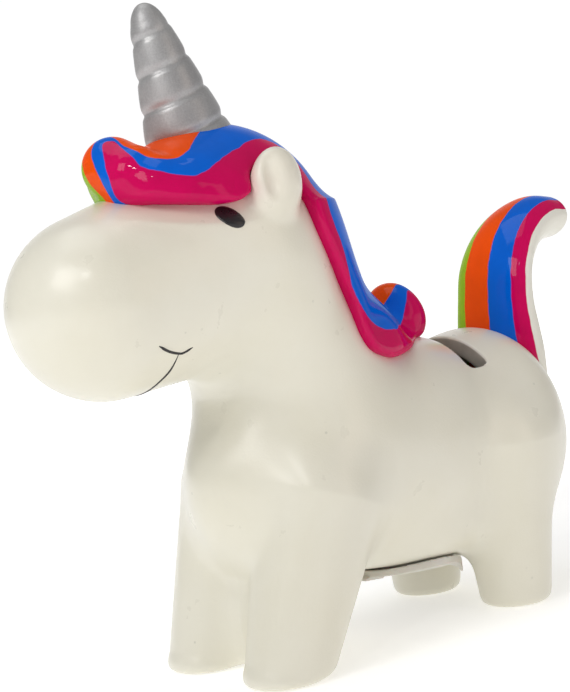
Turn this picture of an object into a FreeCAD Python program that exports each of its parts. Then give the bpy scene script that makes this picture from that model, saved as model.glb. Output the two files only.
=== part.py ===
import FreeCAD
import Part
import math
import os

# Unicorn money bank in slip-cast ceramic. Millimetres, +Z up.
# The animal faces -Y and its left side is +X.

# ---- driving dimensions ----
wall = 4.0                      # thickness of the cast shell

# barrel of the body
torso_y = -0.6
torso_z = 44.8
torso_half_length = 51.5
torso_half_width = 27.3
torso_half_height = 30.6

rump_y = 41.7
rump_z = 43.5
rump_half_length = 20.5
rump_half_width = 27.2
rump_half_height = 28.5

# round chest that closes the foot of the neck
chest_y = -26.6
chest_z = 40.0
chest_half_length = 26.6
chest_half_width = 27.2
chest_half_height = 27.6

neck_levels = (40.0, 54.0, 68.0, 84.0, 100.0)
neck_centres = (-26.2, -22.6, -21.2, -26.9, -36.0)
neck_half_depths = (26.3, 25.4, 24.0, 22.9, 21.0)
neck_half_widths = (27.0, 26.7, 25.8, 24.4, 22.0)

muzzle_y = -72.1
muzzle_z = 91.3
muzzle_radius = 21.4
cranium_y = -36.1
cranium_z = 98.7
cranium_radius = 25.8

front_foot = (15.3, -45.4, 10.4)        # x, y, radius at the floor
front_hip = (15.5, -28.7, 37.4, 14.2)   # x, y, z, radius inside the chest
rear_foot = (16.7, 32.2, 9.4)
rear_hip = (16.4, 33.3, 40.9, 14.0)
foot_round = 2.5                        # rounded edge around each sole

neck_blend = 7.0                # soft joins of the casting
leg_blend = 4.0

slot_length = 34.0              # across the back
slot_width = 7.6                # along the back
slot_back = 29.2                # behind the middle of the barrel
slot_corner = 1.2               # round corners at the ends of the slot

# mane, laid over the skull, the neck and the front of the back
crown_back = -1.4               # middle of the crown from the middle of the cranium
crown_up = 2.8
crown_cover = (2.6, 4.6, 3.8)   # half sizes beyond the cranium: x, y, z
forelock_front = 18.4           # forelock ahead of and above the cranium's middle
forelock_up = 14.8
forelock_half = (21.5, 16.8, 15.4)
hair_levels = (60.0, 72.0, 84.0, 96.0, 108.0)
hair_centres = (-21.9, -21.7, -27.0, -34.0, -37.5)
hair_half_depths = (28.1, 27.1, 26.4, 28.2, 29.2)
hair_half_widths = (29.7, 28.6, 28.2, 28.4, 27.6)
hair_edge = ((-84.0, 113.5), (-66.0, 112.6), (-50.0, 110.6), (-43.0, 112.4), (-37.5, 116.6),
             (-31.5, 116.0), (-28.0, 110.5), (-26.6, 101.8), (-21.6, 91.5), (-18.8, 84.5),
             (-17.2, 77.0), (-14.0, 72.0), (-7.0, 69.2), (4.0, 67.4), (16.0, 66.4))
lock_back = 3.6                 # flat lock on the back, from the middle of the barrel
lock_sink = 6.0                 # its middle below the top of the barrel
lock_half = (20.0, 19.0, 8.0)
curl_back = 14.0                # knob where the lock turns up, from the lock's middle
curl_up = 9.8
curl_half = (8.4, 5.7, 7.7)
curl_lean = 14.0                # degrees, top towards the head

horn_front = 3.7                # seat of the horn ahead of the crown's middle
horn_sink = 4.6                 # and below its top
horn_length = 30.2              # from the seat to the middle of the round tip
horn_lean = 14.8                # degrees forwards
horn_base_radius = 10.4
horn_tip_radius = 4.3
horn_turns = 4
horn_groove_radius = 1.1
horn_root = 7.0                 # how far the horn runs down into its seat

# middle of the tail as (back, up) from the top of the rump
tail_path = ((14.5, -14.0), (13.9, -4.0), (14.3, 6.0), (15.9, 14.0),
             (19.9, 20.6), (25.5, 24.9), (32.3, 27.2), (37.8, 27.6))
tail_half_widths = (14.4, 14.1, 13.4, 13.0, 12.2, 11.2, 9.8, 8.2)
tail_half_depths = (5.8, 5.6, 5.3, 5.3, 5.7, 6.3, 6.6, 6.0)
tail_end_round = 5.0

ear_sink = 4.8                  # ear's middle inside the cranium's widest line
ear_back = 3.3
ear_up = 15.5
ear_half = (5.2, 6.8, 8.4)
ear_lean = 16.0                 # degrees outwards

eye_front = 13.4                # from the cranium's middle
eye_up = 8.8
eye_half_length = 3.7
eye_half_height = 2.5
eye_rise = 0.7                  # height of the raised enamel
eye_slope = (0.55, 0.53, -0.64)     # long axis, falling towards the back

outlet_back = 8.0               # coin outlet in the belly, behind the barrel's middle
outlet_radius = 13.5
plug_clearance = 0.15           # radial, plug neck in the outlet
flange_overlap = 3.0            # flange beyond the edge of the outlet
flange_thickness = 1.8
flange_stand_off = 0.05         # at the middle of the belly
flange_flatness = 1.26          # how much flatter than the belly the flange is, lengthways
plug_rise = 5.6                 # plug neck above the lowest point of the belly
plug_wall = 2.0
grip_width = 4.0                # finger bar across the hollow of the plug

vector = FreeCAD.Vector
x_axis = vector(1, 0, 0)
origin = vector(0, 0, 0)


def ellipsoid(centre, half, turn=0.0, axis=x_axis):
    """Solid ellipsoid in a front and a rear half, turned about its own centre."""
    grow = FreeCAD.Matrix()
    grow.scale(vector(half[0], half[1], half[2]))
    rear = Part.makeSphere(1.0, origin, vector(0, 0, 1), -90, 90, 180)
    front = rear.mirror(origin, vector(0, 1, 0))
    shape = rear.transformGeometry(grow).fuse(front.transformGeometry(grow))
    if turn:
        shape.rotate(origin, axis, turn)
    shape.translate(vector(centre[0], centre[1], centre[2]))
    return shape


def bullet(start, start_radius, end, end_radius):
    """Round-ended cone: two balls and the tangent cone between them."""
    along = end.sub(start)
    length = along.Length
    lean = math.asin((start_radius - end_radius) / length)
    low = vector(start_radius * math.cos(lean), 0, start_radius * math.sin(lean))
    high = vector(end_radius * math.cos(lean), 0, length + end_radius * math.sin(lean))
    middle = (lean - math.pi / 2) / 2
    under = vector(start_radius * math.cos(middle), 0, start_radius * math.sin(middle))
    middle = (lean + math.pi / 2) / 2
    over = vector(end_radius * math.cos(middle), 0, length + end_radius * math.sin(middle))
    bottom = vector(0, 0, -start_radius)
    top = vector(0, 0, length + end_radius)
    edges = [
        Part.Arc(bottom, under, low).toShape(),
        Part.makeLine(low, high),
        Part.Arc(high, over, top).toShape(),
        Part.makeLine(top, bottom),
    ]
    face = Part.Face(Part.Wire(edges))
    shape = face.revolve(origin, vector(0, 0, 1), 360)
    shape.Placement = FreeCAD.Placement(start, FreeCAD.Rotation(vector(0, 0, 1), along))
    return shape


def oval(half_u, half_v, centre, u_axis, v_axis, points=16):
    """Closed smooth oval wire, always starting on the u axis."""
    spots = []
    for index in range(points):
        angle = 2 * math.pi * index / points
        across = u_axis * (half_u * math.cos(angle))
        up = v_axis * (half_v * math.sin(angle))
        spots.append(centre.add(across).add(up))
    curve = Part.BSplineCurve()
    curve.interpolate(Points=spots, PeriodicFlag=True)
    return Part.Wire(curve.toShape())


def column(levels, centres, half_widths, half_depths, grow=0.0):
    """Upright loft through level ovals."""
    wires = []
    for level, middle, half_x, half_y in zip(levels, centres, half_widths, half_depths):
        centre = vector(0, middle, level)
        wires.append(oval(half_x + grow, half_y + grow, centre, x_axis, vector(0, 1, 0)))
    return Part.makeLoft(wires, True, False)


def leg(foot, hip, grow):
    start = vector(foot[0], foot[1], 0)
    end = vector(hip[0], hip[1], hip[2])
    return bullet(start, foot[2] + grow, end, hip[3] + grow)


def both_sides(shape):
    return [shape, shape.mirror(origin, x_axis)]


def body_parts(grow):
    parts = [
        ellipsoid((0, torso_y, torso_z),
                  (torso_half_width + grow, torso_half_length + grow, torso_half_height + grow)),
        ellipsoid((0, rump_y, rump_z),
                  (rump_half_width + grow, rump_half_length + grow, rump_half_height + grow)),
        ellipsoid((0, chest_y, chest_z),
                  (chest_half_width + grow, chest_half_length + grow, chest_half_height + grow)),
        column(neck_levels, neck_centres, neck_half_widths, neck_half_depths, grow),
        bullet(vector(0, muzzle_y, muzzle_z), muzzle_radius + grow,
               vector(0, cranium_y, cranium_z), cranium_radius + grow),
    ]
    for foot, hip in ((front_foot, front_hip), (rear_foot, rear_hip)):
        parts.extend(both_sides(leg(foot, hip, grow)))
    return parts


def above_floor(shape, level):
    block = Part.makeBox(400, 400, 400, vector(-200, -200, level))
    return shape.common(block)




def sharp_joins(shape, least_angle=7.0):
    """Edges where two faces meet at a visible corner."""
    found = []
    for edge in shape.Edges:
        if edge.Length < 0.5:
            continue
        faces = shape.ancestorsOfType(edge, Part.Face)
        if len(faces) != 2:
            continue
        spot = edge.valueAt((edge.FirstParameter + edge.LastParameter) / 2)
        normals = []
        for face in faces:
            u, v = face.Surface.parameter(spot)
            normals.append(face.normalAt(u, v))
        if math.degrees(normals[0].getAngle(normals[1])) > least_angle:
            found.append(edge)
    return found


def soften(shape, radius, wanted):
    """Blend the joins that wanted() picks, tighter where the full radius does not fit."""
    for share in (1.0, 0.75, 0.5, 0.3):
        picked = [edge for edge in sharp_joins(shape) if wanted(edge.BoundBox)]
        if not picked:
            return shape
        try:
            blended = shape.makeFillet(radius * share, picked)
        except Exception:
            continue
        if blended.isValid() and len(blended.Solids) == 1:
            return blended.Solids[0]
    return shape


def is_sole(box):
    return box.ZMax < 1.0


def is_neck_join(box):
    return box.ZMax > 60.0 and box.Center.y < 5.0


def is_other_join(box):
    return box.ZMax > 1.0


def cast_outside():
    parts = body_parts(0.0)
    shape = above_floor(parts[0].multiFuse(parts[1:]), 0.0)
    shape = soften(shape, neck_blend, is_neck_join)
    shape = soften(shape, foot_round, is_sole)
    return soften(shape, leg_blend, is_other_join)


def make_body(outside):
    parts = body_parts(-wall)
    hollow = above_floor(parts[0].multiFuse(parts[1:]), wall)
    shell = outside.cut(hollow)
    slot_y = torso_y + slot_back
    low = torso_z + 6.0
    slot = Part.makeBox(slot_length, slot_width, torso_half_height,
                        vector(-slot_length / 2, slot_y - slot_width / 2, low))
    upright = [edge for edge in slot.Edges if abs(edge.tangentAt(edge.FirstParameter).z) > 0.99]
    slot = slot.makeFillet(slot_corner, upright)
    outlet = Part.makeCylinder(outlet_radius, torso_z, vector(0, torso_y + outlet_back, 0))
    return shell.cut(slot).cut(outlet)


def hair_region():
    """Everything above and behind the painted lower edge of the mane."""
    spots = [vector(-80, y, z) for y, z in hair_edge]
    curve = Part.BSplineCurve()
    curve.interpolate(spots)
    first = spots[0]
    last = spots[-1]
    corners = [last, vector(-80, 60, last.z), vector(-80, 60, 200), vector(-80, first.y, 200), first]
    edges = [curve.toShape()]
    for index in range(len(corners) - 1):
        edges.append(Part.makeLine(corners[index], corners[index + 1]))
    face = Part.Face(Part.Wire(edges))
    return face.extrude(vector(160, 0, 0))


def make_mane(outside, ears):
    crown = ellipsoid((0, cranium_y + crown_back, cranium_z + crown_up),
                      [cranium_radius + cover for cover in crown_cover])
    forelock = ellipsoid((0, cranium_y - forelock_front, cranium_z + forelock_up), forelock_half)
    crest = column(hair_levels, hair_centres, hair_half_widths, hair_half_depths)
    lock_y = torso_y + lock_back
    lock_z = torso_z + torso_half_height - lock_sink
    lock = ellipsoid((0, lock_y, lock_z), lock_half)
    curl = ellipsoid((0, lock_y + curl_back, lock_z + curl_up), curl_half, curl_lean)
    hair = crown.multiFuse([forelock, crest, lock, curl])
    hair = hair.common(hair_region())
    for ear in ears:
        hair = hair.cut(ear)
    hair = hair.cut(outside)
    return max(hair.Solids, key=lambda solid: solid.Volume)


def make_horn(mane, outside):
    """Tapered horn with one spiral groove, built tip down and then turned over."""
    crown_top = cranium_z + crown_up + cranium_radius + crown_cover[2]
    base = vector(0, cranium_y + crown_back - horn_front, crown_top - horn_sink)
    slope = (horn_base_radius - horn_tip_radius) / horn_length
    taper = math.degrees(math.atan(slope))
    root_radius = horn_base_radius + slope * horn_root
    horn = bullet(origin, horn_tip_radius, vector(0, 0, horn_length + horn_root), root_radius)
    pitch = (horn_length + horn_tip_radius) / horn_turns
    skin = horn_tip_radius / math.cos(math.radians(taper)) + 0.35 * horn_groove_radius
    path = Part.makeHelix(pitch, horn_length + 1.0, skin, taper)
    ring = Part.makeCircle(horn_groove_radius, vector(skin, 0, 0), vector(0, 1, 0))
    groove = Part.Wire(path.Edges).makePipeShell([Part.Wire([ring])], True, True)
    horn = horn.cut(groove)
    lean = math.radians(horn_lean)
    up = vector(0, -math.sin(lean), math.cos(lean))
    turn = FreeCAD.Rotation(vector(0, 0, 1), up * -1)
    horn.Placement = FreeCAD.Placement(base.add(up * horn_length), turn)
    horn = horn.cut(mane).cut(outside)
    return max(horn.Solids, key=lambda solid: solid.Volume)


def make_tail(outside):
    rump_top = rump_z + rump_half_height
    centres = [vector(0, rump_y + back, rump_top + up) for back, up in tail_path]
    count = len(centres)
    wires = []
    for index in range(count):
        before = centres[max(index - 1, 0)]
        after = centres[min(index + 1, count - 1)]
        along = after.sub(before).normalize()
        over = vector(0, -along.z, along.y)
        wires.append(oval(tail_half_widths[index], tail_half_depths[index],
                          centres[index], x_axis, over))
    along = centres[-1].sub(centres[-2]).normalize()
    over = vector(0, -along.z, along.y)
    for reach, share in ((0.5, 0.86), (0.85, 0.53), (1.0, 0.12)):
        centre = centres[-1].add(along * (tail_end_round * reach))
        wires.append(oval(tail_half_widths[-1] * share, tail_half_depths[-1] * share,
                          centre, x_axis, over))
    tail = Part.makeLoft(wires, True, False).cut(outside)
    return max(tail.Solids, key=lambda solid: solid.Volume)


def left_ear_blank():
    lobe = ellipsoid((0, 0, 0), ear_half, ear_lean, vector(0, 1, 0))
    dish = ellipsoid((ear_half[0] * 0.5, -ear_half[1] * 1.05, ear_half[2] * 0.15),
                     (ear_half[0] * 0.45, ear_half[1] * 0.42, ear_half[2] * 0.7),
                     ear_lean, vector(0, 1, 0))
    ear = lobe.cut(dish)
    ear.translate(vector(cranium_radius - ear_sink, cranium_y + ear_back, cranium_z + ear_up))
    return ear


def skin_point(outside, y, z):
    probe = outside.common(Part.makeLine(vector(0, y, z), vector(60, y, z)))
    return vector(probe.BoundBox.XMax, y, z)


def make_left_eye(outside):
    eye_y = cranium_y - eye_front
    eye_z = cranium_z + eye_up
    spot = skin_point(outside, eye_y, eye_z)
    back = skin_point(outside, eye_y + 1.0, eye_z).sub(spot)
    up = skin_point(outside, eye_y, eye_z + 1.0).sub(spot)
    outwards = back.cross(up).normalize()
    slope = vector(*eye_slope)
    slope = slope.sub(outwards * slope.dot(outwards)).normalize()
    over = outwards.cross(slope)
    eye = ellipsoid((0, 0, 0), (eye_half_length, eye_half_height, eye_rise))
    turn = FreeCAD.Rotation(slope, over, outwards, "XYZ")
    eye.Placement = FreeCAD.Placement(spot, turn)
    eye = eye.cut(outside)
    return max(eye.Solids, key=lambda solid: solid.Volume)


def make_closure():
    """Soft plug: a flange that hugs the belly, a hollow neck in the outlet and a finger bar."""
    half = vector(torso_half_width, torso_half_length * flange_flatness, torso_half_height)
    stand = flange_stand_off
    drop = stand + flange_thickness
    centre = (0, torso_y, torso_z)
    seat = ellipsoid(centre, (half.x + stand, half.y + stand, half.z + stand))
    face = ellipsoid(centre, (half.x + drop, half.y + drop, half.z + drop))
    outlet_y = torso_y + outlet_back
    plug_radius = outlet_radius - plug_clearance
    belly = torso_z - torso_half_height
    low = belly - 2 * flange_thickness
    top = belly + plug_rise
    under = vector(0, outlet_y, low)
    disc = Part.makeCylinder(outlet_radius + flange_overlap, torso_half_height, under)
    flange = disc.common(face).cut(seat)
    plug = Part.makeCylinder(plug_radius, top - low, under).common(face)
    hollow = Part.makeCylinder(plug_radius - plug_wall, top - plug_wall - low, under)
    reach = plug_radius - plug_wall / 2
    grip = Part.makeBox(2 * reach, grip_width, plug_wall,
                        vector(-reach, outlet_y - grip_width / 2, belly))
    closure = flange.fuse(plug).cut(hollow).fuse(grip)
    return closure.removeSplitter()


def build():
    outside = cast_outside()
    ear_blanks = both_sides(left_ear_blank())
    mane = make_mane(outside, ear_blanks)
    ears = [ear.cut(outside) for ear in ear_blanks]
    eyes = both_sides(make_left_eye(outside))
    return {
        "body_shell": make_body(outside),
        "mane": mane,
        "horn": make_horn(mane, outside),
        "tail": make_tail(outside),
        "left_ear": ears[0],
        "right_ear": ears[1],
        "left_eye": eyes[0],
        "right_eye": eyes[1],
        "belly_closure": make_closure(),
    }


def centre_on_origin(nodes):
    """Put the middle of the whole bank, seen from above, on the Z axis."""
    whole = Part.makeCompound(list(nodes.values()))
    box = whole.optimalBoundingBox(True, False)
    move = vector(-box.Center.x, -box.Center.y, -box.ZMin)
    for shape in nodes.values():
        shape.translate(move)


os.makedirs("parts", exist_ok=True)
nodes = build()
centre_on_origin(nodes)
for name, shape in nodes.items():
    shape.exportStep(os.path.join("parts", name + ".step"))
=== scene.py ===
import math
import bpy
import numpy as np
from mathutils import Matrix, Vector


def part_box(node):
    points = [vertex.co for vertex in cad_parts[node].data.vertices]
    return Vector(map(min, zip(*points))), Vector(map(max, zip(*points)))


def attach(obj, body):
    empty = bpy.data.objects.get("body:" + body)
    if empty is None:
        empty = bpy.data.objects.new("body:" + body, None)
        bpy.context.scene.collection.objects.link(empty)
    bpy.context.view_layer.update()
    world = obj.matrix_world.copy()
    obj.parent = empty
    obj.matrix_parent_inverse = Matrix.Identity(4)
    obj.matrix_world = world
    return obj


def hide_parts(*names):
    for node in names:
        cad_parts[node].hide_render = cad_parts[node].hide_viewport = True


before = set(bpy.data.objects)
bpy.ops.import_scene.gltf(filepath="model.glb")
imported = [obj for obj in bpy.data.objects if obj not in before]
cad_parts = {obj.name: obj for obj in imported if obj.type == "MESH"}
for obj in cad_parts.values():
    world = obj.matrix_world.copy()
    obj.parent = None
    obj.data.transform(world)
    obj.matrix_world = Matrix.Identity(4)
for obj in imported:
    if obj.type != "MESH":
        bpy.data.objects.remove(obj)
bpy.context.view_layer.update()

import openvdb
from mathutils import Matrix, Vector

mm = 0.001

# everything below is in millimetres, y counted from the middle of the barrel,
# x towards the animal's left and z up from the floor
noseReach = 92.9    # the barrel's middle is this far behind the tip of the nose
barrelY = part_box("body_shell")[0][1] / mm + noseReach

animal = {
    "blend": 7.8,       # how softly the casting's lumps run together
    "bellyBlend": 5.0, "underBlend": 4.0, "webBlend": 6.5, "chestBlend": 5.5,
    "wall": 4.0,
    "barrel": {"at": (0, 0.0, 44.8), "half": (27.3, 51.5, 30.6)},
    "belly": {"at": (0, 14.0, 25.5), "half": (21.0, 27.0, 12.3)},
    "bellyCut": (15.6, -0.12),      # height under the middle, and how it falls towards the back
    "web": {"at": (0, -33.5, 12.0), "half": (9.0, 11.0, 20.0)},   # joins the front legs
    "rump": {"at": (0, 42.3, 43.5), "half": (27.2, 20.5, 28.5)},
    "muzzle": {"at": (0, -71.5, 91.3), "radius": 21.4},
    "cheek": {"radius": 23.4},
    "cranium": {"at": (0, -35.5, 98.7), "radius": 25.6},
    "headWidth": 1.03, "headSteps": 32,
    "frontLeg": {"foot": (15.3, -44.8, 0), "footRadius": 10.4,
                 "hip": (15.5, -28.8, 38.2), "hipRadius": 15.3},
    "rearLeg": {"foot": (16.7, 32.8, 0), "footRadius": 9.4,
                "hip": (16.4, 33.9, 40.9), "hipRadius": 14.0},
    "soleRound": 2.5,
}
neck = {"low": 30.0, "high": 102.5, "waist": 52.0, "drop": 31.0, "middle": (-26.8, -20.1, -39.4),
        "halfDepth": (27.0, 24.0, 22.0), "halfWidth": (27.6, 25.9, 21.8)}
slot = {"y": 29.2, "length": 34.0, "width": 7.6, "corner": 1.2, "edge": 0.45, "floor": 46}
outlet = {"y": 8.0, "radius": 13.5, "edge": 0.8, "top": 30}


def ballField(p, at, half):
    x, y, z = (p[i] - at[i] for i in range(3))
    near = np.sqrt((x / half[0]) ** 2 + (y / half[1]) ** 2 + (z / half[2]) ** 2)
    steep = np.sqrt((x / half[0] ** 2) ** 2 + (y / half[1] ** 2) ** 2 + (z / half[2] ** 2) ** 2)
    return near * (near - 1) / np.maximum(steep, 1e-6)


def taperField(p, start, startRadius, end, endRadius):
    # round-ended cone
    start, end = np.array(start, float), np.array(end, float)
    axis = end - start
    length = float(np.linalg.norm(axis))
    axis = axis / length
    x, y, z = (p[i] - start[i] for i in range(3))
    along = x * axis[0] + y * axis[1] + z * axis[2]
    away = np.sqrt(np.maximum(x * x + y * y + z * z - along * along, 0))
    lean = (startRadius - endRadius) / length
    side = math.sqrt(1 - lean * lean)
    place = np.clip((along + away * lean / side) / length, 0, 1)
    radius = startRadius + (endRadius - startRadius) * place
    return np.sqrt(away ** 2 + (along - place * length) ** 2) - radius


def blendIn(a, b, soft):
    share = np.clip(0.5 + 0.5 * (b - a) / soft, 0, 1)
    return b * (1 - share) + a * share - soft * share * (1 - share)


def cutOut(a, b, soft):
    return -blendIn(-a, b, soft)


def through(values, t):
    # smooth run through three values at t = 0, 0.5 and 1
    a, b, c = values
    return a * (2 * t - 1) * (t - 1) + b * 4 * t * (1 - t) + c * t * (2 * t - 1)


def neckField(p):
    t = np.clip((p[2] - neck["low"]) / (neck["high"] - neck["low"]), -0.3, 1.3)
    middle = through(neck["middle"], t)
    shrink = np.sqrt(np.clip(1 - (np.maximum(neck["waist"] - p[2], 0) / neck["drop"]) ** 2, 0.01, 1))
    depth = np.maximum(through(neck["halfDepth"], t), 5) * shrink   # rounded off between the legs
    width = np.maximum(through(neck["halfWidth"], t), 5) * shrink
    y = p[1] - middle
    near = np.sqrt((p[0] / width) ** 2 + (y / depth) ** 2)
    steep = np.sqrt((p[0] / width ** 2) ** 2 + (y / depth ** 2) ** 2)
    column = near * (near - 1) / np.maximum(steep, 1e-6)
    return np.maximum(np.maximum(column, p[2] - neck["high"]), neck["waist"] - neck["drop"] - p[2])


def headField(p):
    q = (p[0] / animal["headWidth"], p[1], p[2])
    muzzle, cranium = animal["muzzle"], animal["cranium"]
    swell = (muzzle["radius"], animal["cheek"]["radius"], cranium["radius"])
    head = None
    for step in range(animal["headSteps"] + 1):
        t = step / animal["headSteps"]
        at = [muzzle["at"][i] * (1 - t) + cranium["at"][i] * t for i in range(3)]
        ball = np.sqrt(sum((q[i] - at[i]) ** 2 for i in range(3))) - through(swell, t)
        head = ball if head is None else np.minimum(head, ball)
    return head


def legField(p, leg):
    q = (np.abs(p[0]), p[1], p[2])
    return taperField(q, leg["foot"], leg["footRadius"], leg["hip"], leg["hipRadius"])


def skinField(p):
    soft = animal["blend"]
    skin = blendIn(ballField(p, **animal["barrel"]), ballField(p, **animal["rump"]), soft)
    skin = blendIn(skin, ballField(p, **animal["belly"]), animal["bellyBlend"])
    under, fall = animal["bellyCut"]
    skin = cutOut(skin, p[2] - under - fall * p[1], animal["underBlend"])
    legs = blendIn(legField(p, animal["frontLeg"]), ballField(p, **animal["web"]), animal["webBlend"])
    skin = blendIn(skin, blendIn(neckField(p), legs, animal["chestBlend"]), soft)
    skin = blendIn(skin, legField(p, animal["rearLeg"]), soft)
    skin = blendIn(skin, headField(p), soft)
    return cutOut(skin, p[2], animal["soleRound"])


def slotField(p):
    corner = slot["corner"]
    x = np.abs(p[0]) - (slot["length"] / 2 - corner)
    y = np.abs(p[1] - slot["y"]) - (slot["width"] / 2 - corner)
    flat = np.hypot(np.maximum(x, 0), np.maximum(y, 0)) + np.minimum(np.maximum(x, y), 0) - corner
    return np.maximum(flat, slot["floor"] - p[2])


def outletField(p):
    return np.maximum(np.hypot(p[0], p[1] - outlet["y"]) - outlet["radius"], p[2] - outlet["top"])


ear = {"at": (24.0, -36.0, 113.0), "half": (4.8, 6.7, 9.2), "lean": 10, "blend": 2.2,
       "dishAt": (29.4, -39.6, 115.6), "dishHalf": (3.4, 2.2, 6.6), "dishEdge": 1.3}


def earField(p):
    lean = math.radians(ear["lean"])
    x, y, z = np.abs(p[0]) - ear["at"][0], p[1] - ear["at"][1], p[2] - ear["at"][2]
    turned = (x * math.cos(lean) - z * math.sin(lean), y, x * math.sin(lean) + z * math.cos(lean))
    lobe = ballField(turned, (0, 0, 0), ear["half"])
    dish = ballField((np.abs(p[0]), p[1], p[2]), ear["dishAt"], ear["dishHalf"])
    return cutOut(lobe, dish, ear["dishEdge"])


def bodyField(p):
    skin = skinField(p)
    shell = np.maximum(skin, -(skin + animal["wall"]))
    shell = cutOut(shell, slotField(p), slot["edge"])
    shell = cutOut(shell, outletField(p), outlet["edge"])
    return blendIn(shell, earField(p), ear["blend"])


hair = {
    "crown": {"at": (0, -36.9, 101.5), "half": (26.9, 28.4, 29.6)},
    "forelock": {"at": (4.6, -50.4, 113.4), "half": (18.8, 17.6, 12.8)},
    # the rolled edge of the fringe, swept over to the left: from the brow round to each temple
    "leftRoll": ((2.0, -64.4, 121.9, 6.6), (8.0, -63.2, 119.2, 6.5), (12.6, -60.4, 116.0, 6.2),
                 (16.0, -55.8, 113.6, 5.8), (18.0, -50.4, 112.8, 5.2), (18.8, -45.6, 113.6, 4.2)),
    "rightRoll": ((2.0, -64.4, 121.9, 6.6), (-5.0, -59.6, 120.0, 6.2), (-10.5, -54.0, 117.0, 5.8),
                  (-14.6, -48.6, 115.4, 5.2), (-17.0, -44.0, 115.0, 4.2)),
    "levels": (60.0, 84.0, 108.0), "middle": (-21.3, -26.4, -36.9),
    "halfDepth": (28.1, 26.4, 29.2), "halfWidth": (29.7, 28.2, 27.6),
    "nape": {"at": (0, -4.0, 73.5), "half": (20.5, 13.0, 12.5)},
    "lock": {"at": (0, -3.0, 69.6), "half": (19.2, 20.5, 10.5)},
    "curl": {"at": (0, 17.6, 79.4), "half": (8.4, 6.0, 7.9)}, "curlLean": 14,
    "stem": {"start": (0, 8.0, 66), "startRadius": 14.5, "end": (0, 18.0, 77), "endRadius": 8.0},
    "lip": 2.2, "blend": 4.2, "columnBlend": 8.0, "rollBlend": 2.4, "napeBlend": 9.0,
    "stemBlend": 7.0, "curlBlend": 1.6, "earGap": 0.2, "earEdge": 0.6, "sunk": 1.2,
    # lower edge of the hair seen from the side, as (back, up)
    "edge": ((-84, 113.5), (-65.5, 112.5), (-49.5, 110.5), (-42.5, 112.5), (-37, 116.5), (-31, 116),
             (-27.5, 110.5), (-26, 102), (-21, 91.5), (-18, 84.5), (-16.5, 77), (-13.5, 72.5),
             (-6.5, 70), (-2, 69.5), (5.5, 70), (14, 71), (20, 71.5), (27, 72)),
}


def smoothLine(points, steps=6):
    # Catmull-Rom run through the given points
    ends = [points[0]] + list(points) + [points[-1]]
    run = []
    for i in range(1, len(ends) - 2):
        a, b, c, d = (np.array(ends[i + k], float) for k in (-1, 0, 1, 2))
        for step in range(steps):
            t = step / steps
            run.append(0.5 * (2 * b + (c - a) * t + (2 * a - 5 * b + 4 * c - d) * t * t
                              + (3 * b - a - 3 * c + d) * t ** 3))
    run.append(np.array(points[-1], float))
    return np.array(run)


def hairRegion(p):
    # signed distance to the painted edge, seen from the side
    line = smoothLine(hair["edge"])
    y, z = p[1][0], p[2][0]
    flat = np.full(y.shape, 1e9, np.float32)
    outline = np.vstack([line, [[60, line[-1][1]], [60, 200], [line[0][0], 200]]])
    inside = np.zeros(y.shape, bool)
    for a, b in zip(outline, np.roll(outline, -1, axis=0)):
        run = b - a
        t = np.clip(((y - a[0]) * run[0] + (z - a[1]) * run[1]) / max(run @ run, 1e-9), 0, 1)
        flat = np.minimum(flat, np.hypot(y - a[0] - t * run[0], z - a[1] - t * run[1]))
        crosses = (a[1] > z) != (b[1] > z)
        if crosses.any():
            at = a[0] + (z - a[1]) / (b[1] - a[1] + 1e-12) * run[0]
            inside ^= crosses & (y < at)
    return np.where(inside, -flat, flat)[None]


def hairColumn(p):
    low, _, high = hair["levels"]
    t = np.clip((p[2] - low) / (high - low), -0.2, 1.1)
    y = p[1] - through(hair["middle"], t)
    depth, width = through(hair["halfDepth"], t), through(hair["halfWidth"], t)
    near = np.sqrt((p[0] / width) ** 2 + (y / depth) ** 2)
    steep = np.sqrt((p[0] / width ** 2) ** 2 + (y / depth ** 2) ** 2)
    return np.maximum(near * (near - 1) / np.maximum(steep, 1e-6), p[2] - high)


def maneField(p):
    soft = hair["blend"]
    mane = blendIn(ballField(p, **hair["crown"]), ballField(p, **hair["forelock"]), soft)
    mane = blendIn(mane, hairColumn(p), hair["columnBlend"])
    for roll in (hair["leftRoll"], hair["rightRoll"]):
        for a, b in zip(roll, roll[1:]):
            mane = blendIn(mane, taperField(p, a[:3], a[3], b[:3], b[3]), hair["rollBlend"])
    mane = blendIn(mane, ballField(p, **hair["nape"]), hair["napeBlend"])
    mane = blendIn(mane, ballField(p, **hair["lock"]), soft)
    mane = blendIn(mane, taperField(p, *hair["stem"].values()), hair["stemBlend"])
    lean = math.radians(hair["curlLean"])
    at = hair["curl"]["at"]
    y, z = p[1] - at[1], p[2] - at[2]
    turned = (p[0], y * math.cos(lean) + z * math.sin(lean), z * math.cos(lean) - y * math.sin(lean))
    mane = blendIn(mane, ballField(turned, (0, 0, 0), hair["curl"]["half"]), hair["curlBlend"])
    mane = cutOut(mane, -hairRegion(p), hair["lip"])
    mane = cutOut(mane, earField(p) - hair["earGap"], hair["earEdge"])
    return np.maximum(mane, -(skinField(p) + hair["sunk"]))


def skinMesh(name, field, low, high, voxel):
    # samples the field on a grid and wraps a mesh round its zero level
    axes = [np.arange(low[i], high[i] + voxel, voxel, dtype=np.float32) for i in range(3)]
    p = np.meshgrid(*axes, indexing="ij")
    values = np.clip(field(p), -3 * voxel, 3 * voxel).astype(np.float32)
    grid = openvdb.FloatGrid(3 * voxel)
    grid.copyFromArray(values)
    points, triangles, quads = grid.convertToPolygons(0.0)
    points = points * voxel + np.array(low)
    return makePiece(name, points, quads.tolist() + triangles.tolist())


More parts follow.
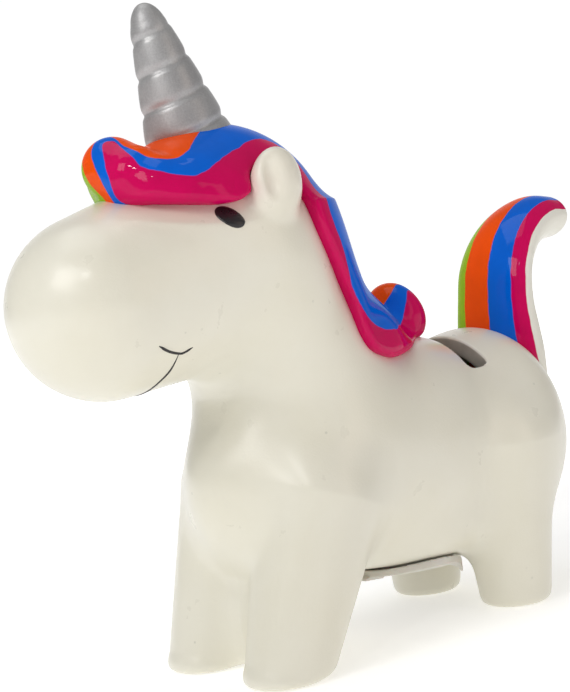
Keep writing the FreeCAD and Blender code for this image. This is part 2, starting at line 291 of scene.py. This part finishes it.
def makePiece(name, points, faces):
    mesh = bpy.data.meshes.new(name)
    places = [(x * mm, (y + barrelY) * mm, z * mm) for x, y, z in np.asarray(points).tolist()]
    mesh.from_pydata(places, [], faces)
    piece = bpy.data.objects.new(name, mesh)
    bpy.context.scene.collection.objects.link(piece)
    mesh.polygons.foreach_set("use_smooth", [True] * len(mesh.polygons))
    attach(piece, "bank")
    print(name, len(mesh.polygons), "faces")
    return piece


def pointsOf(piece):
    flat = np.zeros(len(piece.data.vertices) * 3)
    piece.data.vertices.foreach_get("co", flat)
    return flat.reshape(-1, 3) / mm - np.array((0, barrelY, 0))


def atPoints(field, points):
    points = np.asarray(points, float)
    return field([points[:, i][None, :, None] for i in range(3)])[0, :, 0]


def outward(field, points, step=0.4):
    # unit direction in which the field grows fastest
    points = np.asarray(points, float)
    slope = np.stack([atPoints(field, points + move) - atPoints(field, points - move)
                      for move in step * np.eye(3)], 1)
    return slope / np.maximum(np.linalg.norm(slope, axis=1, keepdims=True), 1e-9)


def dropOnto(field, points, furthest=99.0):
    start = np.array(points, float)
    points = start.copy()
    for _ in range(12):
        points -= 0.9 * atPoints(field, points)[:, None] * outward(field, points)
    shift = points - start
    reach = np.maximum(np.linalg.norm(shift, axis=1, keepdims=True), 1e-9)
    return start + shift * np.minimum(1, furthest / reach)


def keep(piece, name, values):
    layer = piece.data.attributes.new(name, "FLOAT", "POINT")
    layer.data.foreach_set("value", np.asarray(values, np.float32))


# the painted edges between neighbouring stripes, from the brow to the curl, a few points for each
alongSide = ((9, -66, 125), (12, -66, 123), (15, -65, 120), (20, -59.5, 117.5), (21.5, -54, 117.5),
             (19, -43, 122.5), (16, -32.5, 125.5), (15.5, -27, 124), (17.5, -24, 120.5), (21, -22.5, 115.5),
             (26, -22.5, 106), (25.5, -20, 97), (26.5, -18, 86), (25, -12.5, 78.5), (21, -3, 76),
             (18, 2.5, 77))
stripes = {
    "bluePink": ((12, -67, 107), (9, -69, 113.5), (8.5, -70, 119.5), (6.5, -69, 124), (4.5, -67.5, 126.5),
                 (6, -66, 127), *alongSide, (12.5, 8.5, 76.5), (8, 13, 77.5), (7.5, 16, 82.5),
                 (6.5, 18, 85), (6.5, 22, 84), (7, 24.5, 77), (7.5, 25.5, 69)),
    "orangeBlue": ((7.5, -68, 108), (5.5, -71, 120.5), (3, -69.5, 125.5), (1.5, -67.5, 128),
                   (2, -65.5, 128.5), (4, -65, 128), (10.5, -65, 124.5), (15.5, -62, 122),
                   (16.5, -55, 122), (10, -45, 128.5), (2, -33, 131), (0, -20, 126), (0, -9, 108),
                   (0, 1, 86), (0.5, 6, 80), (2, 10.5, 79.5), (4, 13.5, 84), (3.5, 17, 87),
                   (4, 22, 85), (4, 25.5, 69)),
    "greenOrange": ((4, -68.5, 108.5), (1.5, -71, 120.5), (-1, -70, 125), (-2.5, -68, 127.5),
                    (-5.5, -66, 127), *((-x, y, z) for x, y, z in alongSide), (-12, 8.5, 76.5),
                    (-6, 12, 78), (-3.5, 14, 82), (-2.5, 17.5, 87), (-2.5, 22, 84.5), (-3.5, 25.5, 69)),
}
fringeLip = {"left": 8, "front": -30, "below": 113}   # here the lip of the fringe is pink all along


def sideOf(points, line, field):
    # distance from a painted edge, counted positive on the animal's right
    line = dropOnto(field, smoothLine(line, 5), 1.5)
    run = np.gradient(line, axis=0)
    run /= np.linalg.norm(run, axis=1, keepdims=True)
    aside = np.cross(outward(field, line), run)
    aside /= np.linalg.norm(aside, axis=1, keepdims=True)
    best = np.full(len(points), 1e9)
    reach = np.zeros(len(points))
    for a, b, sideA, sideB in zip(line[:-1], line[1:], aside[:-1], aside[1:]):
        span = b - a
        t = np.clip((points - a) @ span / max(span @ span, 1e-9), 0, 1)[:, None]
        gap = points - (a + t * span)
        away = np.linalg.norm(gap, axis=1)
        side = np.einsum("ij,ij->i", gap, sideA * (1 - t) + sideB * t)
        nearer = away < best
        best[nearer] = away[nearer]
        reach[nearer] = np.sign(side[nearer]) * np.maximum(np.abs(side[nearer]), 0.7 * away[nearer])
    return reach


horn = {"base": (0, -40.6, 126.5), "tip": (0, -48.3, 155.7), "baseRadius": 10.6, "tipRadius": 4.3,
        "sunk": 6.0, "pitch": 8.0, "start": 0.53, "groove": 0.075, "wander": 0.09, "wanderFrom": 0.72,
        "round": 2.5, "fade": 7.0, "rings": 150, "around": 96}


def tubeFaces(rows, across, first=0):
    # rings of points joined into a tube and closed at both ends
    faces = []
    for i in range(rows):
        for k in range(across):
            here, following = first + i * across, first + (i + 1) * across
            j = (k + 1) % across
            faces.append((here + k, here + j, following + j, following + k))
    faces.append(tuple(first + k for k in range(across))[::-1])
    faces.append(tuple(first + rows * across + k for k in range(across)))
    return faces


def makeHorn():
    base, tip = np.array(horn["base"], float), np.array(horn["tip"], float)
    axis = tip - base
    length = float(np.linalg.norm(axis))
    axis /= length
    side = np.array((1.0, 0, 0))
    back = np.cross(axis, side)
    whole = length + horn["tipRadius"]
    rows, across = horn["rings"], horn["around"]
    points = []
    for i in range(rows + 1):
        along = -horn["sunk"] + (whole + horn["sunk"]) * math.sin(math.pi / 2 * (i / rows)) ** 0.92
        along = min(along, whole - 0.02)
        t = along / length
        taper = horn["baseRadius"] + (horn["tipRadius"] - horn["baseRadius"]) * min(max(t, -0.1), 1.0)
        nose = 1.0
        past = along - length + horn["round"]
        if past > 0:
            nose = math.sqrt(max(0.0, 1 - (past / (whole - length + horn["round"])) ** 2))
        for k in range(across):
            turn = 2 * math.pi * k / across
            # the groove was pressed in by hand, flatter on one side than on the other
            wind = turn / (2 * math.pi) - horn["wander"] * math.sin(turn + horn["wanderFrom"])
            phase = (along / horn["pitch"] - wind + horn["start"]) % 1.0
            # each band swells just above its groove's lower lip and eases in towards the next one
            swell = math.exp(-(phase / 0.15) ** 2) + math.exp(-((phase - 1.0) / 0.075) ** 2)
            belly = abs(math.sin(math.pi * phase)) ** 0.8 * (1.1 - 0.4 * phase)
            fade = min(1.0, max(0.0, (whole - along) / horn["fade"]))
            radius = taper * nose * (1 + horn["groove"] * fade * (0.42 * belly - swell * 0.75))
            points.append(base + axis * along + radius * (math.cos(turn) * side + math.sin(turn) * back))
    return makePiece("spiralHorn", points, tubeFaces(rows, across))


tail = {
    "path": ((56.8, 56), (56.2, 63), (56.0, 70), (56.6, 78), (58.2, 86), (62.2, 92.6), (67.8, 96.9),
             (74.6, 99.2), (80.6, 99.4)),
    "halfWidth": (15.4, 15.2, 14.3, 13.4, 13.0, 12.2, 11.2, 9.8, 8.4),
    "frontDepth": (5.8, 5.6, 5.3, 5.3, 5.3, 5.7, 6.3, 6.6, 6.0),
    "rearDepth": (4.2, 7.0, 7.6, 5.9, 5.3, 5.7, 6.3, 6.6, 6.0),
    "endLength": 5.0, "rows": 90, "around": 96, "evenRows": 0.66,
    "edges": {"bluePink": 46, "orangeBlue": 10, "greenOrange": -32}, "bareFrom": 76, "bareTo": 84,
}


def makeTail():
    path = np.array(tail["path"], float)
    rows, across = tail["rows"], tail["around"]
    middle = smoothLine(path, 12)
    sizes = [smoothLine([(value, value) for value in tail[key]], 12)[:, 0]
             for key in ("halfWidth", "frontDepth", "rearDepth")]
    length = np.concatenate([[0], np.cumsum(np.linalg.norm(np.diff(middle, axis=0), axis=1))])
    points, around = [], []
    total = length[-1] + tail["endLength"]
    even = rows * tail["evenRows"]   # rows are evenly spaced up to here, then crowd towards the tip
    for i in range(rows + 1):
        share = math.sin(math.pi / 2 * i / rows) if i > even else math.sin(math.pi / 3 * 0.99) * i / even
        along = total * share
        at = min(along, length[-1])
        y, z = (np.interp(at, length, middle[:, k]) for k in range(2))
        before, after = ([np.interp(at + step, length, middle[:, k]) for k in range(2)]
                         for step in (-0.6, 0.6))
        ahead = np.array(after) - np.array(before)
        ahead /= np.linalg.norm(ahead)
        extra = along - at
        y, z = y + ahead[0] * extra, z + ahead[1] * extra
        cap = max(math.sqrt(max(0.0, 1 - (extra / tail["endLength"]) ** 2)), 0.02)
        wide, front, rear = (np.interp(at, length, size) for size in sizes)
        for k in range(across):
            turn = 2 * math.pi * k / across
            deep = (front if math.cos(turn) > 0 else rear) * math.cos(turn)
            x = wide * cap * math.sin(turn)
            # the front faces away from the tail's inner bend
            points.append((x, y - ahead[1] * deep * cap, z + ahead[0] * deep * cap))
            around.append(math.degrees(turn if turn < math.pi else turn - 2 * math.pi))
    piece = makePiece("tailPlume", points, tubeFaces(rows, across))
    # stripe edges by how far round the section they lie, in degrees from the middle of the front
    around = np.array(around)
    for edge, turn in tail["edges"].items():
        keep(piece, edge, (turn - around) * 0.2)
    keep(piece, "bare", np.maximum(around - tail["bareFrom"], -tail["bareTo"] - around) * 0.2)
    return piece


eye = {"at": (22.6, -49.1, 107.4), "along": (0.50, 0.53, -0.66), "halfLength": 3.75, "halfHeight": 2.5,
       "rise": 0.55, "rings": 14, "around": 56}


def makeEye(name, side):
    # a bead of enamel draped on the cheek
    at = dropOnto(skinField, [eye["at"]])[0]
    out = outward(skinField, [at])[0]
    along = np.array(eye["along"]) - np.dot(eye["along"], out) * out
    along /= np.linalg.norm(along)
    up = np.cross(out, along)
    rings, across = eye["rings"], eye["around"]
    plan, lift = [], []
    for i in range(rings + 1):
        r = math.sin(math.pi / 2 * i / rings)
        for k in range(across):
            turn = 2 * math.pi * k / across
            plan.append(at + along * eye["halfLength"] * max(r, 0.01) * math.cos(turn)
                        + up * eye["halfHeight"] * max(r, 0.01) * math.sin(turn))
            lift.append(eye["rise"] * math.sqrt(max(0.0, 1 - r ** 2.6)))
    skin = dropOnto(skinField, plan)
    normal = outward(skinField, skin)
    top = skin + normal * np.array(lift)[:, None]
    under = skin[-across:] - normal[-across:] * 0.7
    points = np.vstack([top, under])
    points[:, 0] *= side
    faces = tubeFaces(rings + 1, across)
    if side > 0:
        faces = [f[::-1] for f in faces]
    return makePiece(name, points, faces)


mouth = {
    "smile": ((17.5, -64.5, 79), (14, -65, 75.5), (10.5, -66, 73), (4.5, -66.5, 71), (0, -66.5, 70.5)),
    "dimple": ((19.5, -70.5, 81.5), (18.5, -67.5, 80), (18, -64.5, 79), (18, -63, 79), (18.5, -61, 80)),
    "halfWidth": 0.33, "rise": 0.16, "around": 8,
}


def makeMouth():
    points, faces = [], []
    smile = list(mouth["smile"])
    lines = [smile + [(-x, y, z) for x, y, z in smile[-2::-1]], mouth["dimple"],
             [(-x, y, z) for x, y, z in mouth["dimple"]]]
    for line in lines:
        run = dropOnto(skinField, smoothLine(line, 12))
        out = outward(skinField, run)
        ahead = np.gradient(run, axis=0)
        ahead /= np.linalg.norm(ahead, axis=1, keepdims=True)
        aside = np.cross(out, ahead)
        first = len(points)
        for i in range(len(run)):
            place = i / (len(run) - 1)
            thin = min(1.0, 0.25 + 6 * min(place, 1 - place))   # the brush lifts off at both ends
            for k in range(mouth["around"]):
                turn = 2 * math.pi * k / mouth["around"]
                points.append(run[i] + aside[i] * math.cos(turn) * mouth["halfWidth"] * thin
                              + out[i] * (math.sin(turn) * mouth["rise"] * thin + 0.02))
        faces += tubeFaces(len(run) - 1, mouth["around"], first)
    return makePiece("mouthLines", points, faces)


plug = {"flange": 16.5, "thick": 1.7, "gap": 0.25, "clearance": 0.3, "rise": 5.4, "wall": 2.0,
        "grip": 2.0, "droop": 0.35, "reach": 17.5, "tab": {"at": (1.5, -6.0), "half": (4.6, 3.2)}}


def plugField(p):
    # thin disc that follows the belly, a hollow neck in the outlet, a finger bar and a pull tab
    skin = skinField(p)
    low = bellyLow
    flat = np.hypot(p[0], p[1] - outlet["y"])
    half = plug["thick"] / 2
    # the disc is stiffer than the belly is round, so its rim stands off a little
    sag = plug["droop"] * np.clip(flat / plug["flange"], 0, 1.2) ** 2
    away = skin - plug["gap"] - sag
    disc = np.maximum(np.abs(away - half) - half + 0.5, flat - plug["flange"] + 0.5) - 0.5
    tab = plug["tab"]
    x, y = (np.abs(p[i] - tab["at"][i]) - tab["half"][i] for i in range(2))
    tongue = np.maximum(np.maximum(x, y), np.abs(away - plug["thick"] - 0.35) - 0.4)
    neckWall = outlet["radius"] - plug["clearance"]
    tube = np.maximum(np.abs(flat - neckWall + plug["wall"] / 2) - plug["wall"] / 2,
                      np.maximum(low - 0.6 - p[2], p[2] - low - plug["rise"]))
    top = np.maximum(flat - neckWall, np.abs(p[2] - low - plug["rise"] + 1.0) - 1.0)
    bar = np.maximum(np.maximum(np.abs(p[1] - outlet["y"]) - plug["grip"], flat - neckWall),
                     np.maximum(low - 0.4 - p[2], p[2] - low - plug["rise"]))
    mouthOfPlug = np.maximum(flat - neckWall + plug["wall"], p[2] - low - plug["rise"] + 2.0)
    disc = cutOut(disc, mouthOfPlug, 0.5)
    solid = blendIn(disc, np.minimum(tube, np.minimum(top, bar)), 0.7)
    return blendIn(solid, tongue, 0.6)


def makePlug():
    reach = plug["reach"]
    piece = skinMesh("bellyPlug", plugField, (-reach, outlet["y"] - reach - 2, bellyLow - 6),
                     (reach, outlet["y"] + reach, bellyLow + 9), 0.32)
    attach(piece, "closure")
    return piece


def newMaterial(name):
    material = bpy.data.materials.new(name)
    material.use_nodes = True
    nodes = material.node_tree.nodes
    nodes.clear()
    output = nodes.new("ShaderNodeOutputMaterial")
    shader = nodes.new("ShaderNodeBsdfPrincipled")
    material.node_tree.links.new(shader.outputs[0], output.inputs[0])
    return material, material.node_tree, shader


def noise(tree, scale, detail=3.0, roughness=0.55):
    place = tree.nodes.new("ShaderNodeTexCoord")
    node = tree.nodes.new("ShaderNodeTexNoise")
    node.inputs["Scale"].default_value = scale
    node.inputs["Detail"].default_value = detail
    node.inputs["Roughness"].default_value = roughness
    tree.links.new(place.outputs["Object"], node.inputs["Vector"])
    return node.outputs["Fac"]


def spread(tree, value, low, high, to=(0.0, 1.0)):
    node = tree.nodes.new("ShaderNodeMapRange")
    node.inputs["From Min"].default_value = low
    node.inputs["From Max"].default_value = high
    node.inputs["To Min"].default_value, node.inputs["To Max"].default_value = to
    tree.links.new(value, node.inputs["Value"])
    return node.outputs["Result"]


def stored(tree, name):
    node = tree.nodes.new("ShaderNodeAttribute")
    node.attribute_name = name
    return node.outputs["Fac"]


def maths(tree, kind, a, b):
    node = tree.nodes.new("ShaderNodeMath")
    node.operation = kind
    for socket, value in zip(node.inputs, (a, b)):
        if isinstance(value, (int, float)):
            socket.default_value = value
        else:
            tree.links.new(value, socket)
    return node.outputs[0]


def mixColour(tree, share, a, b):
    node = tree.nodes.new("ShaderNodeMix")
    node.data_type = "RGBA"
    node.clamp_factor = True
    tree.links.new(share, node.inputs["Factor"])
    for socket, value in ((node.inputs["A"], a), (node.inputs["B"], b)):
        if isinstance(value, tuple):
            socket.default_value = (*value, 1.0)
        else:
            tree.links.new(value, socket)
    return node.outputs["Result"]


def bump(tree, shader, height, distance, strength):
    node = tree.nodes.new("ShaderNodeBump")
    node.inputs["Distance"].default_value = distance * mm
    node.inputs["Strength"].default_value = strength
    tree.links.new(height, node.inputs["Height"])
    tree.links.new(node.outputs[0], shader.inputs["Normal"])


ceramic = {"white": (0.79, 0.765, 0.66), "cloudy": (0.765, 0.735, 0.615), "raw": (0.46, 0.425, 0.35),
           "pinkMist": (0.80, 0.46, 0.50), "greenMist": (0.62, 0.74, 0.42), "speck": (0.50, 0.50, 0.42),
           "roughness": (0.27, 0.40), "coat": 0.35, "coatRoughness": 0.22}


def whiteCeramic():
    material, tree, shader = newMaterial("whiteCeramic")
    colour = mixColour(tree, spread(tree, noise(tree, 38, 4), 0.35, 0.7), ceramic["white"], ceramic["cloudy"])
    grain = tree.nodes.new("ShaderNodeTexVoronoi")
    grain.inputs["Scale"].default_value = 210
    place = tree.nodes.new("ShaderNodeTexCoord")
    tree.links.new(place.outputs["Object"], grain.inputs["Vector"])
    specks = maths(tree, "MULTIPLY", spread(tree, grain.outputs["Distance"], 0.09, 0.05),
                   spread(tree, noise(tree, 90, 1), 0.60, 0.66, (0.0, 0.5)))
    colour = mixColour(tree, specks, colour, ceramic["speck"])
    colour = mixColour(tree, stored(tree, "pinkMist"), colour, ceramic["pinkMist"])
    colour = mixColour(tree, stored(tree, "greenMist"), colour, ceramic["greenMist"])
    raw = spread(tree, stored(tree, "depth"), 0.35, 0.6)
    rough = mixColour(tree, spread(tree, noise(tree, 300, 5), 0.3, 0.7), ceramic["raw"],
                      tuple(v * 0.8 for v in ceramic["raw"]))
    colour = mixColour(tree, raw, colour, rough)
    tree.links.new(colour, shader.inputs["Base Color"])
    sheen = spread(tree, noise(tree, 120, 4), 0.3, 0.7, ceramic["roughness"])
    matt = maths(tree, "MAXIMUM", sheen, maths(tree, "MULTIPLY", raw, 0.85))
    tree.links.new(matt, shader.inputs["Roughness"])
    shader.inputs["Coat Weight"].default_value = ceramic["coat"]
    shader.inputs["Coat Roughness"].default_value = ceramic["coatRoughness"]
    height = maths(tree, "ADD", noise(tree, 1500, 2), maths(tree, "MULTIPLY", noise(tree, 220, 3), 2.0))
    bump(tree, shader, height, 0.08, 0.35)
    return material


enamel = {"pink": (0.60, 0.001, 0.095), "blue": (0.0008, 0.125, 0.66), "orange": (0.90, 0.085, 0.0005),
          "green": (0.30, 0.52, 0.015), "bare": (0.80, 0.785, 0.71), "edge": 0.12, "wobble": 0.35,
          "roughness": (0.10, 0.22), "coat": 0.32, "coatIor": 1.5, "coatRoughness": 0.05}


def stripedEnamel():
    material, tree, shader = newMaterial("stripedEnamel")
    # the brush wanders a little along each painted edge
    wander = spread(tree, noise(tree, 170, 2), 0.2, 0.8, (-enamel["wobble"], enamel["wobble"]))
    colour = enamel["pink"]
    for edge, paint in (("bluePink", "blue"), ("orangeBlue", "orange"), ("greenOrange", "green")):
        away = maths(tree, "ADD", stored(tree, edge), wander)
        colour = mixColour(tree, spread(tree, away, -enamel["edge"], enamel["edge"]), colour, enamel[paint])
    thick = spread(tree, noise(tree, 60, 5, 0.6), 0.25, 0.75, (0.86, 1.08))
    shaded = tree.nodes.new("ShaderNodeVectorMath")
    shaded.operation = "SCALE"
    tree.links.new(colour, shaded.inputs[0])
    tree.links.new(thick, shaded.inputs["Scale"])
    bare = spread(tree, maths(tree, "ADD", stored(tree, "bare"), wander), -enamel["edge"], enamel["edge"])
    colour = mixColour(tree, bare, shaded.outputs[0], enamel["bare"])
    tree.links.new(colour, shader.inputs["Base Color"])
    gloss = spread(tree, noise(tree, 90, 3), 0.3, 0.7, enamel["roughness"])
    matt = maths(tree, "MAXIMUM", gloss, maths(tree, "MULTIPLY", bare, 0.36))
    tree.links.new(matt, shader.inputs["Roughness"])
    shader.inputs["Specular IOR Level"].default_value = 0.0
    shader.inputs["Coat Weight"].default_value = enamel["coat"]
    shader.inputs["Coat IOR"].default_value = enamel["coatIor"]
    shader.inputs["Coat Roughness"].default_value = enamel["coatRoughness"]
    height = maths(tree, "ADD", noise(tree, 110, 3), maths(tree, "MULTIPLY", noise(tree, 420, 2), 0.35))
    bump(tree, shader, height, 0.22, 0.5)
    return material


silver = {"light": (0.44, 0.44, 0.44), "dark": (0.36, 0.355, 0.36), "metallic": 0.55,
          "roughness": (0.36, 0.5)}


def silverPaint():
    material, tree, shader = newMaterial("silverPaint")
    flake = noise(tree, 2600, 1)
    mottle = maths(tree, "ADD", maths(tree, "MULTIPLY", flake, 0.5),
                   maths(tree, "MULTIPLY", noise(tree, 110, 4), 0.5))
    colour = mixColour(tree, spread(tree, mottle, 0.38, 0.62), silver["dark"], silver["light"])
    tree.links.new(colour, shader.inputs["Base Color"])
    shader.inputs["Metallic"].default_value = silver["metallic"]
    satin = spread(tree, noise(tree, 150, 4), 0.3, 0.7, silver["roughness"])
    tree.links.new(satin, shader.inputs["Roughness"])
    height = maths(tree, "ADD", flake, maths(tree, "MULTIPLY", noise(tree, 160, 3), 2.0))
    bump(tree, shader, height, 0.07, 0.35)
    return material


ink = {"deep": (0.006, 0.005, 0.007), "worn": (0.018, 0.016, 0.018), "roughness": (0.22, 0.36)}


def blackEnamel():
    material, tree, shader = newMaterial("blackEnamel")
    colour = mixColour(tree, noise(tree, 500, 3), ink["deep"], ink["worn"])
    tree.links.new(colour, shader.inputs["Base Color"])
    tree.links.new(spread(tree, noise(tree, 400, 3), 0.3, 0.7, ink["roughness"]), shader.inputs["Roughness"])
    bump(tree, shader, noise(tree, 700, 2), 0.05, 0.3)
    return material


vinyl = {"colour": (0.66, 0.64, 0.58), "tint": (0.58, 0.56, 0.50), "roughness": (0.42, 0.58),
         "depth": 0.15, "depthScale": 0.003}


def softVinyl():
    material, tree, shader = newMaterial("softVinyl")
    colour = mixColour(tree, spread(tree, noise(tree, 120, 4), 0.3, 0.7), vinyl["colour"], vinyl["tint"])
    tree.links.new(colour, shader.inputs["Base Color"])
    matt = spread(tree, noise(tree, 260, 3), 0.3, 0.7, vinyl["roughness"])
    tree.links.new(matt, shader.inputs["Roughness"])
    shader.inputs["Subsurface Weight"].default_value = vinyl["depth"]
    shader.inputs["Subsurface Scale"].default_value = vinyl["depthScale"]
    bump(tree, shader, noise(tree, 1300, 2), 0.06, 0.3)
    return material


def dress(piece, material, slotName, *nodes):
    piece.data.materials.clear()
    piece.data.materials.append(material)
    if nodes:
        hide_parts(*nodes)


white, striped, silverCoat, black = whiteCeramic(), stripedEnamel(), silverPaint(), blackEnamel()

bellyLow = float(dropOnto(skinField, [(0, outlet["y"], 12)])[0][2])
print("belly at", round(bellyLow, 2))
body = skinMesh("castBody", bodyField, (-33, -96, -2), (33, 66, 127), 0.55)
at = pointsOf(body)
keep(body, "depth", -atPoints(skinField, at))
nearHair = np.maximum(atPoints(maneField, at), 0)
mist = 0.30 * np.exp(-nearHair / 0.9) + 0.08 * np.exp(-nearHair / 4.5)
keep(body, "pinkMist", mist * np.clip(at[:, 0] / 6, 0, 1))
keep(body, "greenMist", 0.7 * mist * np.clip(-at[:, 0] / 6, 0, 1))
dress(body, white, "white_ceramic", "body_shell", "left_ear", "right_ear")

mane = skinMesh("maneHair", maneField, (-32, -74, 62), (32, 28, 134), 0.42)
at = pointsOf(mane)
onLip = (at[:, 0] > fringeLip["left"]) & (at[:, 1] < fringeLip["front"]) & (at[:, 2] < fringeLip["below"])
reach = np.where(onLip, -9.0, 99.0)
for edge in ("bluePink", "orangeBlue", "greenOrange"):
    reach = np.minimum(reach, sideOf(at, stripes[edge], maneField))   # each stripe lies inside the last
    keep(mane, edge, reach)
keep(mane, "bare", np.full(len(at), -9.0))
dress(mane, striped, "striped_enamel", "mane")

plume = makeTail()
dress(plume, striped, "striped_enamel", "tail")

dress(makeHorn(), silverCoat, "silver_paint", "horn")
dress(makeEye("leftEye", 1), black, "black_enamel", "left_eye")
dress(makeEye("rightEye", -1), black, "black_enamel", "right_eye")
dress(makeMouth(), black, "black_enamel")

dress(makePlug(), softVinyl(), "soft_plug", "belly_closure")
print("pieces made")

view = {"camera": (286.5, -250.6, 94.43), "target": (-10.67, -11.57, 74.78), "roll": -7.542,
        "lens": 77.39}


def makeCamera():
    data = bpy.data.cameras.new("studioCamera")
    data.sensor_fit = "VERTICAL"
    data.sensor_height = 36
    data.lens = view["lens"]
    camera = bpy.data.objects.new("studioCamera", data)
    bpy.context.scene.collection.objects.link(camera)
    lift = Vector((0, barrelY, 0))
    place, target = (Vector(view["camera"]) + lift) * mm, (Vector(view["target"]) + lift) * mm
    ahead = (target - place).normalized()
    right = ahead.cross(Vector((0, 0, 1))).normalized()
    up = right.cross(ahead)
    roll = math.radians(view["roll"])
    turned = right * math.cos(roll) + up * math.sin(roll)
    tall = up * math.cos(roll) - right * math.sin(roll)
    camera.matrix_world = Matrix(((turned.x, tall.x, -ahead.x, place.x),
                                  (turned.y, tall.y, -ahead.y, place.y),
                                  (turned.z, tall.z, -ahead.z, place.z),
                                  (0, 0, 0, 1)))
    data.clip_start = 0.02
    data.clip_end = 20
    bpy.context.scene.camera = camera


makeCamera()

studio = {
    "glow": (0.38, 0.75), "sky": 0.34, "backdrop": 1.02, "behind": (-0.752, 0.659, 0.0),
    "floor": (0.93, 0.93, 0.925),
    "lamps": {
        "keyLight": {"at": (0.15, -0.95, 0.75), "size": (0.5, 0.5), "power": 4.0, "colour": (1, 0.99, 0.97)},
        "topLight": {"at": (-0.15, -0.1, 1.1), "size": (0.7, 0.7), "power": 2.4, "colour": (1, 1, 1)},
        "sideLight": {"at": (1.0, 0.35, 0.45), "size": (0.35, 0.7), "power": 0.9, "colour": (1, 0.80, 0.66)},
        "sparkLight": {"at": (0.55, -0.75, 0.85), "size": (0.07, 0.05), "power": 0.8, "colour": (1, 1, 1)},
    },
}


def makeStudio():
    world = bpy.data.worlds.new("studioSky")
    world.use_nodes = True
    sky = world.node_tree.nodes["Background"]
    # a lit white cloth hangs behind the animal, and the rest of the room is dimmer
    tree = world.node_tree
    look = tree.nodes.new("ShaderNodeTexCoord")
    towards = tree.nodes.new("ShaderNodeVectorMath")
    towards.operation = "DOT_PRODUCT"
    towards.inputs[1].default_value = studio["behind"]
    tree.links.new(look.outputs["Generated"], towards.inputs[0])
    tree.links.new(spread(tree, towards.outputs["Value"], 0.70, 0.92, (studio["sky"], studio["backdrop"])),
                   sky.inputs["Strength"])
    sky.inputs["Color"].default_value = (1, 1, 1, 1)
    bpy.context.scene.world = world
    aim = Vector((0, 0, 0.07))
    for name, lamp in studio["lamps"].items():
        data = bpy.data.lights.new(name, "AREA")
        data.shape = "RECTANGLE"
        data.size, data.size_y = lamp["size"]
        data.energy = lamp["power"]
        data.color = lamp["colour"]
        light = bpy.data.objects.new(name, data)
        bpy.context.scene.collection.objects.link(light)
        light.location = lamp["at"]
        light.rotation_euler = (aim - light.location).to_track_quat("-Z", "Y").to_euler()
    bpy.ops.mesh.primitive_grid_add(x_subdivisions=4, y_subdivisions=4, size=12, location=(0, 0, -0.0002))
    floor = bpy.context.object
    floor.name = "studioFloor"
    material, tree, shader = newMaterial("paleFloor")
    paper = noise(tree, 30, 4)
    tree.links.new(mixColour(tree, paper, studio["floor"], tuple(v * 0.99 for v in studio["floor"])),
                   shader.inputs["Base Color"])
    shader.inputs["Roughness"].default_value = 0.8
    shader.inputs["Specular IOR Level"].default_value = 0.2
    shader.inputs["Emission Color"].default_value = (1, 1, 1, 1)
    # the floor glows with painted light of its own, stronger further out, so that it runs into the white
    # cloth
    place = tree.nodes.new("ShaderNodeTexCoord")
    away = tree.nodes.new("ShaderNodeVectorMath")
    away.operation = "LENGTH"
    tree.links.new(place.outputs["Object"], away.inputs[0])
    glow = spread(tree, away.outputs["Value"], 0.2, 0.7, studio["glow"])
    tree.links.new(glow, shader.inputs["Emission Strength"])
    floor.data.materials.append(material)


makeStudio()
bpy.context.scene.view_settings.view_transform = "Standard"

print("scene ready")
